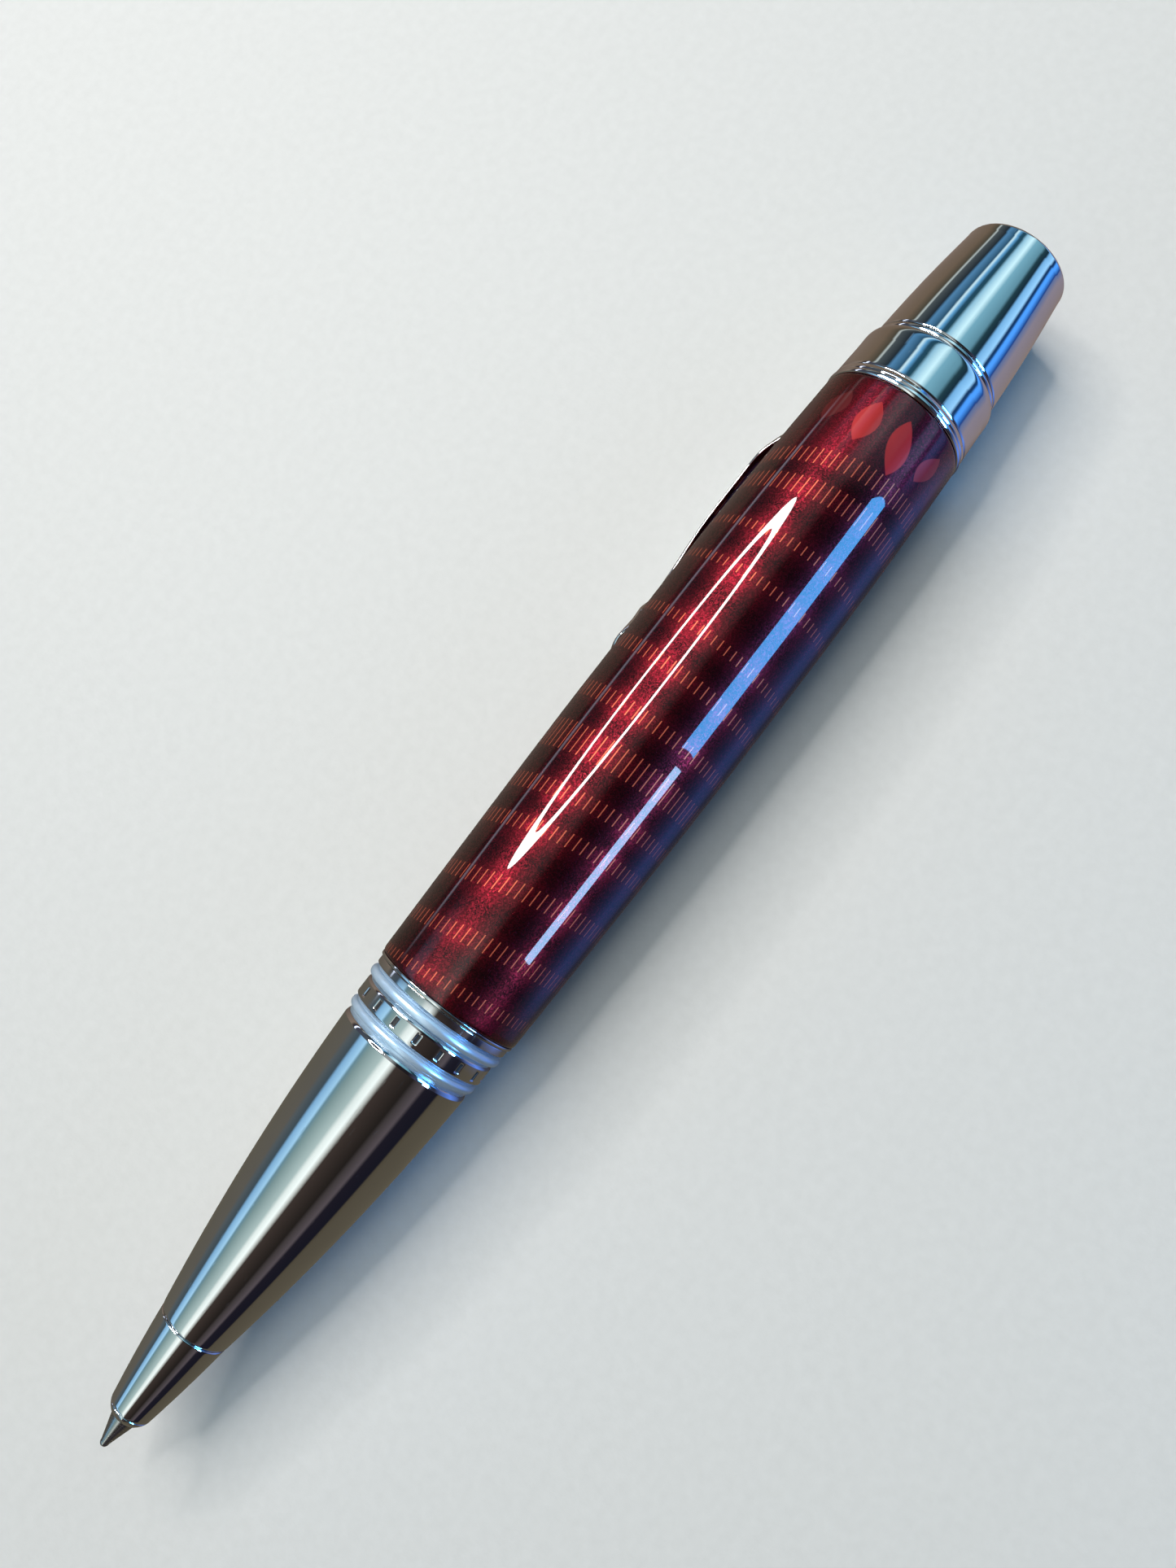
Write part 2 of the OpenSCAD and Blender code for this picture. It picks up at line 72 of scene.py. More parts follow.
# ---------------------------------------------------------------------------------------------------
# Floor: one plain, pale, matt sheet that the pen lies on. A finish is built as expressions on wires:
# the operators of a wire add Math nodes, and add() adds any other node.
class Wire:
    """An output socket that stands for its value in an expression."""

    def __init__(self, finish, node, output=0):
        self.finish, self.node = finish, node
        self.socket = node.outputs[output] if node.outputs else None

    def out(self, output):
        return Wire(self.finish, self.node, output)

    def math(self, operation, *inputs, clamp=False):
        settings = {"operation": operation, "use_clamp": clamp}
        return self.finish.add("ShaderNodeMath", settings, dict(enumerate(inputs)))

    def __add__(self, other):
        return self.math("ADD", self, other)

    def __sub__(self, other):
        return self.math("SUBTRACT", self, other)

    def __mul__(self, other):
        return self.math("MULTIPLY", self, other)

    def __truediv__(self, other):
        return self.math("DIVIDE", self, other)

    def __rsub__(self, other):
        return self.math("SUBTRACT", other, self)

    def __rtruediv__(self, other):
        return self.math("DIVIDE", other, self)

    def __neg__(self):
        return self * -1.0

    def __abs__(self):
        return self.math("ABSOLUTE", self)

    def sin(self):
        return self.math("SINE", self)

    def cos(self):
        return self.math("COSINE", self)

    def fraction(self):
        return self.math("FRACT", self)

    def clamped(self):
        return self.math("ADD", self, 0.0, clamp=True)

    __radd__, __rmul__ = __add__, __mul__


class Finish:
    """A node material or world under construction."""

    def __init__(self, name, owner=None):
        self.owner = owner or bpy.data.materials.new(name)
        self.owner.use_nodes = True
        self.tree = self.owner.node_tree
        self.tree.nodes.clear()

    def add(self, kind, settings=None, inputs=None):
        """A node of that kind, its settings set first, then its sockets' values or links. The settings of
        a colour ramp are its interpolation and its stops, a list of (place, colour or grey)."""
        node = self.tree.nodes.new(kind)
        settings = dict(settings or {})
        if "stops" in settings:
            ramp = node.color_ramp
            ramp.interpolation = settings.pop("interpolation", "LINEAR")
            ramp.elements.remove(ramp.elements[1])
            for i, (place, colour) in enumerate(sorted(settings.pop("stops"), key=lambda stop: stop[0])):
                stop = ramp.elements.new(place) if i else ramp.elements[0]
                stop.position = place
                stop.color = (*colour, 1.0) if isinstance(colour, tuple) else (colour, colour, colour, 1.0)
        for key, value in settings.items():
            setattr(node, key, value)
        for key, value in (inputs or {}).items():
            if isinstance(value, Wire):
                self.tree.links.new(value.socket, node.inputs[key])
            elif value is not None:
                node.inputs[key].default_value = value
        return Wire(self, node)

    def place_on_pen(self):
        """(s in mm, y, z from the pen's axis in mm) of the shaded point."""
        point = self.add("ShaderNodeTexCoord").out("Object")
        axes = self.add("ShaderNodeSeparateXYZ", inputs={0: point})
        return ((axes.out("X") - tip_x) / MM, (axes.out("Y") - axis_y) / MM, (axes.out("Z") - axis_z) / MM)

    def noise(self, scale, detail=2.0, stretch=(1, 1, 1)):
        """Soft noise from 0 to 1 with that many features a metre, drawn out by stretch."""
        point = self.add("ShaderNodeTexCoord").out("Object")
        mapped = self.add("ShaderNodeMapping", inputs={"Vector": point, "Scale": stretch})
        return self.add("ShaderNodeTexNoise", inputs={"Vector": mapped, "Scale": scale, "Detail": detail})

    def blend(self, share, low, high):
        """Colour that goes from low to high as share goes from 0 to 1."""
        mix = self.add("ShaderNodeMix", {"data_type": "RGBA"})
        for key, value in ((0, share), (6, low), (7, high)):
            if isinstance(value, Wire):
                self.tree.links.new(value.socket, mix.node.inputs[key])
            else:
                mix.node.inputs[key].default_value = (*value, 1.0) if isinstance(value, tuple) else value
        return mix.out(2)

    def bump(self, height, strength, distance):
        return self.add("ShaderNodeBump", inputs={
            "Height": height, "Strength": strength, "Distance": distance})

    def finish(self, **inputs):
        """Ends the material in a Principled shader; an underscore in a name stands for a space."""
        colour = inputs.pop("Base_Color")
        inputs["Base_Color"] = colour if isinstance(colour, Wire) else (*colour, 1.0)
        named = {key.replace("_", " "): value for key, value in inputs.items()}
        shader = self.add("ShaderNodeBsdfPrincipled", inputs=named)
        self.add("ShaderNodeOutputMaterial", inputs={"Surface": shader})
        return self.owner


paper = Finish("pale_floor")
paper_grain = paper.noise(900.0, 3.0)
floor_finish = paper.finish(
    Base_Color=paper.blend(paper_grain, (0.60, 0.59, 0.57), (0.66, 0.65, 0.63)), Roughness=0.65,
    Normal=paper.bump(paper_grain, 0.15, 0.0002))
floor_half = 2.0
floor_mesh = bpy.data.meshes.new("floor")
floor_mesh.from_pydata([(-floor_half, -floor_half, 0), (floor_half, -floor_half, 0),
                        (floor_half, floor_half, 0), (-floor_half, floor_half, 0)], [], [(0, 1, 2, 3)])
floor_mesh.materials.append(floor_finish)
floor = bpy.data.objects.new("floor", floor_mesh)
floor.visible_glossy = False
bpy.context.scene.collection.objects.link(floor)

# ---------------------------------------------------------------------------------------------------
# Light: a ring lamp on the clip side, a cool window panel low on the other side, a soft fill from above
# that only lights the floor, and a room whose colour changes with the angle round the pen. The room is
# bright beyond the nib, dark above the barrel and blue beyond the knob, with a plain pale backdrop.
lamp_distance, lamp_s = 0.5, 166.0
lamp_angle = math.radians(33)
lamp_place = Vector((tip_x + lamp_s * MM, math.sin(lamp_angle) * lamp_distance,
                     math.cos(lamp_angle) * lamp_distance))
lamp_inner, lamp_outer, lamp_strength = 0.112, 0.137, 34.0
lamp_sides = 64
lamp_glow = Finish("ring_lamp_glow")
lamp_glow.add("ShaderNodeOutputMaterial", inputs={"Surface": lamp_glow.add(
    "ShaderNodeEmission", inputs={"Color": (1.0, 0.98, 0.96, 1.0), "Strength": lamp_strength})})
turn = np.linspace(0, 2 * np.pi, lamp_sides, endpoint=False)
rim = np.stack([np.cos(turn), np.sin(turn), 0 * turn], axis=1)
lamp_mesh = bpy.data.meshes.new("ring_lamp")
step = np.arange(lamp_sides)
after = (step + 1) % lamp_sides
lamp_mesh.from_pydata(np.concatenate([rim * lamp_inner, rim * lamp_outer]).tolist(), [],
                      np.stack([step, after, lamp_sides + after, lamp_sides + step], axis=1).tolist())
lamp_mesh.materials.append(lamp_glow.owner)
lamp = bpy.data.objects.new("ring_lamp", lamp_mesh)
lamp.location = lamp_place
lamp.rotation_euler = lamp_place.to_track_quat("Z", "Y").to_euler()
lamp.visible_camera = False
bpy.context.scene.collection.objects.link(lamp)


def panel(name, angle, distance, x, size_x, size_y, colour, energy):
    """Rectangular light that faces the pen from that angle, in degrees from straight up towards the
    clip's side."""
    data = bpy.data.lights.new(name, "AREA")
    data.shape = "RECTANGLE"
    data.size, data.size_y, data.color, data.energy = size_x, size_y, colour, energy
    light = bpy.data.objects.new(name, data)
    toward = Vector((0, math.sin(math.radians(angle)), math.cos(math.radians(angle))))
    light.location = toward * distance + Vector((x, 0, 0))
    light.rotation_euler = toward.to_track_quat("Z", "Y").to_euler()
    bpy.context.scene.collection.objects.link(light)
    return light


front_pane = panel("front_pane", -64.5, 0.6, 0.006, 0.157, 0.12, (0.34, 0.62, 1.0), 1.2)
rear_pane = panel("rear_pane", -61, 0.6, 0.218, 0.235, 0.24, (0.07, 0.42, 1.0), 3.1)
front_pane.visible_diffuse = rear_pane.visible_diffuse = False
fill = panel("soft_fill", 20, 1.5, 0.0, 1.2, 1.2, (1.0, 0.99, 0.97), 9.0)
fill.visible_glossy = False

world = bpy.data.worlds.new("studio")
bpy.context.scene.world = world
room = Finish("studio", world)
direction = room.add("ShaderNodeSeparateXYZ", inputs={0: room.add("ShaderNodeTexCoord").out("Generated")})
round_pen = direction.math("ARCTAN2", direction.out("Y"), direction.out("Z")) / (2 * math.pi) + 0.5


def surroundings(*stops):
    """Colour of the room by the angle in degrees from straight up, positive towards the clip's side."""
    stops = [((angle + 180) / 360, colour) for angle, colour in stops]
    return room.add("ShaderNodeValToRGB", {"stops": stops}, {0: round_pen})


nib_room = surroundings(
    (-180, (0.12, 0.105, 0.075)), (-104, (0.10, 0.085, 0.06)), (-97, (0.09, 0.075, 0.05)),
    (-93, (0.010, 0.010, 0.018)), (-70, (0.014, 0.012, 0.02)), (-64, (0.11, 0.09, 0.10)),
    (-50, (0.06, 0.05, 0.05)), (-44, (0.020, 0.016, 0.014)), (-11, (0.055, 0.040, 0.034)),
    (-7, (0.50, 0.52, 0.48)), (0, (1.15, 1.25, 1.20)), (9, (0.95, 1.05, 1.00)),
    (15, (0.50, 0.64, 0.62)), (40, (0.24, 0.36, 0.36)), (47, (0.16, 0.30, 0.36)),
    (51, (0.45, 0.78, 1.05)), (64, (0.26, 0.52, 0.80)), (69, (0.06, 0.09, 0.11)),
    (84, (0.10, 0.12, 0.13)), (92, (0.13, 0.12, 0.10)), (180, (0.12, 0.105, 0.075)))
barrel_room = surroundings(
    (-180, (0.05, 0.04, 0.035)), (-150, (0.05, 0.06, 0.10)), (-122, (0.14, 0.30, 0.95)),
    (-98, (0.08, 0.14, 0.38)), (-84, (0.03, 0.03, 0.05)), (-44, (0.05, 0.05, 0.09)),
    (-32, (0.015, 0.012, 0.015)), (-10, (0.02, 0.018, 0.02)), (2, (0.34, 0.36, 0.36)),
    (12, (0.34, 0.36, 0.36)), (26, (0.12, 0.13, 0.14)), (60, (0.07, 0.08, 0.10)),
    (82.5, (0.06, 0.06, 0.09)), (83.5, (1.9, 2.1, 2.6)), (85.5, (1.9, 2.1, 2.6)),
    (87, (0.04, 0.04, 0.06)), (92, (0.05, 0.04, 0.04)), (98, (0.26, 0.20, 0.16)),
    (140, (0.16, 0.12, 0.10)), (180, (0.05, 0.04, 0.035)))
knob_room = surroundings(
    (-180, (0.26, 0.20, 0.17)), (-116, (0.30, 0.26, 0.32)), (-101, (0.14, 0.20, 0.40)),
    (-98, (0.01, 0.05, 0.26)), (-86, (0.10, 0.45, 1.3)), (-81, (0.10, 0.45, 1.3)),
    (-77, (0.01, 0.05, 0.16)), (-73, (0.01, 0.05, 0.16)), (-68, (0.40, 0.82, 1.25)),
    (-54, (0.22, 0.55, 0.95)), (-50, (0.01, 0.03, 0.05)), (-40, (0.02, 0.06, 0.08)),
    (-34, (0.14, 0.34, 0.44)), (-14, (0.22, 0.50, 0.64)), (-4, (0.78, 1.15, 1.25)),
    (10, (0.34, 0.66, 0.86)), (15, (0.02, 0.08, 0.12)), (21, (0.02, 0.08, 0.14)),
    (27, (0.14, 0.44, 0.78)), (32, (0.75, 1.05, 1.15)), (35, (0.03, 0.10, 0.18)),
    (50, (0.10, 0.28, 0.50)), (55, (0.02, 0.03, 0.04)), (72, (0.08, 0.10, 0.11)),
    (75, (0.60, 0.68, 0.66)), (79, (0.08, 0.07, 0.05)), (96, (0.18, 0.13, 0.09)),
    (180, (0.26, 0.20, 0.17)))
beyond_nib = (-(direction.out("X") + 0.08) * 12.0).clamped()
beyond_knob = ((direction.out("X") - 0.44) * 16.0).clamped()
sky = room.blend(beyond_knob, room.blend(beyond_nib, barrel_room, nib_room), knob_room)
seen = room.add("ShaderNodeLightPath").out("Is Camera Ray")
room.add("ShaderNodeOutputWorld", inputs={"Surface": room.add("ShaderNodeBackground", inputs={
    "Color": room.blend(seen, sky, (0.58, 0.59, 0.60)), "Strength": 1.0})})


# ---------------------------------------------------------------------------------------------------
# Writing ball and point: a ground ball rolls in the crimped end of a drawn steel cone, which is all
# that shows of the refill.
def rounded(corners, points=5):
    """Outline through corners (s, r, cut) in mm: each corner is cut back by cut along both sides and
    bridged by a quadratic curve (1-t)^2 a + 2t(1-t) c + t^2 b. A cut of 0 leaves it sharp."""
    corners = np.array([(*corner, 0.0)[:3] for corner in corners], dtype=float)
    place, cut = corners[:, :2], corners[:, 2:]
    before, after = np.roll(place, 1, axis=0) - place, np.roll(place, -1, axis=0) - place
    start = place + before / np.linalg.norm(before, axis=1, keepdims=True) * cut
    end = place + after / np.linalg.norm(after, axis=1, keepdims=True) * cut
    t = np.linspace(0, 1, points)[None, :, None]
    curve = (1 - t) ** 2 * start[:, None] + 2 * t * (1 - t) * place[:, None] + t ** 2 * end[:, None]
    outline = curve.reshape(-1, 2)
    return outline[np.linalg.norm(outline - np.roll(outline, 1, axis=0), axis=1) > 1e-5]


def turned(name, outline, body, nodes, finish, steps=192, carve=None):
    """Solid of revolution about the pen's axis. Point (i, j) is outline point i = (s, r) turned by j
    steps: (s, r sin a, r cos a). carve(s, r, a) gives a depth taken off r. An outline that starts and
    ends at r = 0 is closed by a pole at each end; any other is a loop."""
    outline = np.asarray(outline, dtype=float)
    poles = outline[0, 1] < 1e-6
    s, r = outline.T
    if np.sum(s * np.roll(r, -1) - np.roll(s, -1) * r) > 0:
        outline = outline[::-1]
    side = np.roll(outline, -1, axis=0) - outline
    across = np.stack([-side[:, 1], side[:, 0]], axis=1)
    normal = across + np.roll(across, 1, axis=0)
    if poles:
        normal[0], normal[-1] = across[0], across[-2]
        outline, normal, ends = outline[1:-1], normal[1:-1], outline[[0, -1], 0]
    normal /= np.linalg.norm(normal, axis=1, keepdims=True)
    angle = np.linspace(0, 2 * np.pi, steps, endpoint=False)
    s, r = outline[:, :1] + 0 * angle, outline[:, 1:] + 0 * angle
    cut = carve(s, r, angle + 0 * s) if carve else 0 * s
    r = r - cut

    def wrapped(a, b):
        return np.stack([a, b * np.sin(angle), b * np.cos(angle)], axis=-1).reshape(-1, 3)

    place = wrapped(s, r) * MM + (tip_x, axis_y, axis_z)
    facing = wrapped(normal[:, :1] + 0 * angle, normal[:, 1:] + 0 * angle)
    rows = len(outline)
    i, j = np.meshgrid(np.arange(rows - 1 if poles else rows), np.arange(steps), indexing="ij")
    i2, j2 = (i + 1) % rows, (j + 1) % steps
    faces = np.stack([i * steps + j, i2 * steps + j, i2 * steps + j2, i * steps + j2], axis=-1)
    faces = faces.reshape(-1, 4).tolist()
    if poles:
        first, last = len(place), len(place) + 1
        place = np.concatenate([place, [(tip_x + e * MM, axis_y, axis_z) for e in ends]])
        sign = np.sign(ends[1] - ends[0])
        facing = np.concatenate([facing, [(-sign, 0, 0), (sign, 0, 0)]])
        around = np.arange(steps)
        lap = (around + 1) % steps
        final = (rows - 1) * steps
        faces += np.stack([0 * around + first, around, lap], axis=1).tolist()
        faces += np.stack([0 * around + last, final + lap, final + around], axis=1).tolist()
    mesh = bpy.data.meshes.new(name)
    mesh.from_pydata(place.tolist(), [], faces)
    mesh.shade_smooth()
    if carve:
        depth = mesh.attributes.new("engraved", "FLOAT", "POINT")
        depth.data.foreach_set("value", (cut / cut.max()).ravel())
    else:
        mesh.normals_split_custom_set_from_vertices(facing.tolist())
    mesh.materials.append(finish)
    piece = bpy.data.objects.new(name, mesh)
    bpy.context.scene.collection.objects.link(piece)
    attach(piece, body)
    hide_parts(*nodes)
    return piece


def drawn_steel():
    """Stainless steel with fine drawing lines round it."""
    steel = Finish("drawn_steel")
    lines = steel.noise(2500.0, 3.0, (6.0, 1.0, 1.0))
    return steel.finish(
        Base_Color=steel.blend(lines, (0.46, 0.45, 0.44), (0.60, 0.59, 0.58)), Metallic=1.0,
        Roughness=0.16 + lines * 0.16, Normal=steel.bump(lines, 0.25, 0.00002))


steel_finish = drawn_steel()
ball_r = 500 * (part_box("writing_ball")[1][2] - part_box("writing_ball")[0][2])
arc = np.linspace(0, np.pi, 25)
ball = turned("rolling_ball", np.stack([ball_r - ball_r * np.cos(arc), ball_r * np.sin(arc)], axis=1),
              "ball", ["writing_ball"], steel_finish, steps=64)

point_out = 1000 * (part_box("nose_sleeve")[0][0] - tip_x)
nib_r = 1.25
point = turned("steel_point", rounded(
    [(0.31, 0.26), (0.31, 0.36, 0.04), (point_out - 0.1, nib_r - 0.05, 0.15),
     (point_out + 0.15, nib_r, 0.1), (9.6, nib_r, 0.1), (10.0, 0.8), (13.0, 0.8), (13.0, 0.26)]),
    "refill", ["refill_point"], steel_finish, steps=96)

# ---------------------------------------------------------------------------------------------------
# Nose sleeve and front cone: two turned brass pieces under polished chrome plate. The sleeve screws
# into the cone, and only a hairline seam with a bright edge shows between them.
cone_r, cone_end = 6.33, 40.4
nose_seam = 12.1


def cone_curve(s):
    """Radius of the cone: a straight taper from its wide end less a square term, so it swells."""
    return cone_r - 0.0386 * (cone_end - s) - 0.00246 * (cone_end - s) ** 2


def nose_curve(s):
    """Radius of the sleeve: the cone's radius at the seam, then a slightly fuller curve to the nose."""
    return cone_curve(nose_seam) - 0.02 - 0.125 * (nose_seam - s) - 0.0042 * (nose_seam - s) ** 2


def polished_chrome(name="polished_chrome", engraved=False):
    """Bright plate with faint finger marks and hairline scratches; engraving is dark."""
    plate = Finish(name)
    smudge = plate.noise(180.0, 4.0)
    hair = plate.noise(5200.0, 2.0, (0.06, 1.0, 1.0))
    scratch = ((hair - 0.68) * 12.0).clamped()
    haze = ((smudge - 0.45) * 3.0).clamped()
    colour = plate.blend(haze, (0.80, 0.815, 0.83), (0.74, 0.76, 0.78))
    rough = 0.035 + haze * 0.05 + scratch * 0.12
    metal = 1.0
    if engraved:
        mark = plate.add("ShaderNodeAttribute", {"attribute_name": "engraved"}).out("Fac")
        # the engraved marks are drawn dark and matt
        ink = ((mark - 0.45) * 5.0).clamped()
        colour = plate.blend(ink, colour, (0.02, 0.02, 0.022))
        rough = rough + ink * 0.45
        metal = 1.0 - ink * 0.8
    return plate.finish(Base_Color=colour, Metallic=metal, Roughness=rough,
                        Normal=plate.bump(scratch, 0.05, 0.00001))


chrome_finish = polished_chrome()
sleeve_bore = nib_r + 0.07
sleeve_s = np.linspace(point_out + 0.75, nose_seam - 0.25, 44)
nose = turned("nose_tip_sleeve", np.concatenate([
    rounded([(point_out, sleeve_bore), (point_out, sleeve_bore + 0.1, 0.06), (point_out + 0.3, 1.7, 0.12),
             (point_out + 0.65, nose_curve(point_out + 0.65), 0.1),
             (point_out + 0.75, sleeve_bore)])[:-1],
    np.stack([sleeve_s, nose_curve(sleeve_s)], axis=1),
    [(nose_seam - 0.16, nose_curve(nose_seam) - 0.03), (nose_seam - 0.08, nose_curve(nose_seam) - 0.10),
     (nose_seam - 0.05, 2.75), (16.5, 2.75), (16.5, 2.0), (10.6, 2.0), (9.0, sleeve_bore)]]),
    "front_section", ["nose_sleeve"], chrome_finish, steps=224)

cone_s = np.linspace(nose_seam + 0.22, cone_end - 0.5, 90)
cone = turned("front_taper", np.concatenate([
    [(nose_seam, 2.77), (nose_seam, cone_curve(nose_seam) - 0.12),
     (nose_seam + 0.05, cone_curve(nose_seam) - 0.03), (nose_seam + 0.12, cone_curve(nose_seam) + 0.01)],
    np.stack([cone_s, cone_curve(cone_s)], axis=1),
    [(cone_end - 0.38, cone_r - 0.02), (cone_end - 0.2, cone_r - 0.07), (cone_end - 0.06, cone_r - 0.14),
     (cone_end, cone_r - 0.22), (cone_end, 5.57), (35.95, 5.57), (34, 4.9), (30.5, 4.9), (29.5, 4.1),
     (23, 4.1), (22, 3.3), (16.6, 3.3), (16.6, 2.77)]]),
    "front_section", ["front_cone"], chrome_finish, steps=256)

# ---------------------------------------------------------------------------------------------------
# Trim rings: two rounded beads with the centre band between them, then the narrow neck ring. They are
# turned, plated one by one and stacked on the threaded sleeve; the beads have a satin plate whose pale
# blue colour is a painted reflection of the window and the bright room.
ring_bore = 5.57


def satin_plate_painted_sheen():
    """Satin plate brushed round the ring so that it shows no sharp reflection; its pale blue colour and
    part-diffuse response are a painted reflection of the blue window and bright room.
    """
    plate = Finish("satin_plate_painted_sheen")
    lines = plate.noise(5200.0, 2.0, (1.0, 0.1, 0.1))
    return plate.finish(
        # painted reflection: the pale blue base colour stands in for the window and room seen in the beads
        Base_Color=plate.blend(lines, (0.50, 0.72, 0.96), (0.68, 0.84, 1.0)), Metallic=0.55,
        Roughness=0.24 + lines * 0.12, Coat_Weight=0.4, Coat_Roughness=0.05,
        Normal=plate.bump(lines, 0.1, 0.00001))


def bead(base, top, start, end, points=21):
    """Full, rounded bulge from radius base to top: r = base + (top - base) sin(a)^0.7, a from 0 to 180
    degrees."""
    a = np.linspace(0, np.pi, points)
    rise = np.maximum(0, np.sin(a)) ** 0.7
    s = (start + end) / 2 - (end - start) / 2 * np.cos(a)
    return np.stack([s, base + (top - base) * rise], axis=1)


satin_painted_sheen_finish = satin_plate_painted_sheen()


def trim_ring(name, node, base, top, start, end, bead_start, bead_end):
    outline = np.concatenate([[(start, ring_bore), (start, base)], bead(base, top, bead_start, bead_end),
                              [(end, base), (end, ring_bore)]])
    ring = turned(name, outline, "front_section", [node], satin_painted_sheen_finish, steps=224)


trim_ring("lower_bead", "lower_ring", 6.15, 6.53, cone_end, 41.75, 40.78, 41.52)
trim_ring("upper_bead", "upper_ring", 6.35, 6.84, 43.72, 44.9, 43.76, 44.64)

band_r, band_marks, mark_s = 6.55, 18, 42.65
mark_long, mark_wide, mark_deep = 0.8, 0.35, 0.09


def band_engraving(s, r, angle):
    """Depth of the plain marks: a rounded bar repeated round the band, full depth inside its edges."""
    round_step = 2 * np.pi / band_marks
    off = (np.mod(angle - np.pi / 2 + round_step / 2, round_step) - round_step / 2) * band_r
    inside = np.maximum(np.abs(off) / (mark_wide / 2), np.abs(s - mark_s) / (mark_long / 2))
    return mark_deep * np.clip((1.25 - inside) * 2.5, 0, 1) * (r > band_r - 0.05)


band_s = np.linspace(42.05, 43.25, 25)
band = turned("engraved_band", np.concatenate([
    [(41.76, ring_bore), (41.76, band_r - 0.25), (41.8, band_r - 0.12), (41.9, band_r - 0.01),
     (42.0, band_r)],
    np.stack([band_s, 0 * band_s + band_r], axis=1),
    [(43.38, band_r), (43.46, band_r - 0.03), (43.66, band_r - 0.19), (43.71, band_r - 0.27),
     (43.71, ring_bore)]]),
    "front_section", ["centre_band"], polished_chrome("engraved_chrome", engraved=True), steps=720,
    carve=band_engraving)

neck = turned("neck_band", rounded(
    [(44.91, ring_bore), (44.91, 6.75, 0.08), (45.6, 6.75, 0.08), (45.6, 6.05), (45.18, 6.05),
     (45.18, ring_bore)]),
    "front_section", ["neck_ring"], chrome_finish, steps=224)

# ---------------------------------------------------------------------------------------------------
# Barrel rim: the flange of the threaded bush, which is all that shows of it when the pen is closed.
rim = turned("barrel_rim", rounded(
    [(45.65, 5.61), (45.65, 6.94, 0.1), (45.93, 6.94, 0.06), (45.93, 6.43), (55.2, 6.43), (55.2, 5.61)]),
    "barrel", ["barrel_bush"], chrome_finish, steps=224)

# ---------------------------------------------------------------------------------------------------
# Barrel: a drawn tube, engraved with rings of fine dashes, sprayed with a dark red flake lacquer,
# cleared and polished. The flake only lights up near a lamp; the dashes and the leaves stay bright.
barrel_r = (shell_high[2] - shell_low[2]) / 2 / MM
barrel_start, barrel_end = 45.95, 110.1
level_start, level_end = 76.0, 86.0


def barrel_curve(s):
    """Radius of the barrel: level at its widest, a soft hyperbola in front of that, a parabola behind."""
    ahead, behind = np.maximum(0, level_start - s), np.maximum(0, s - level_end)
    return barrel_r - 0.0233 * (np.sqrt(ahead ** 2 + 64) - 8) - 0.0009 * behind ** 2


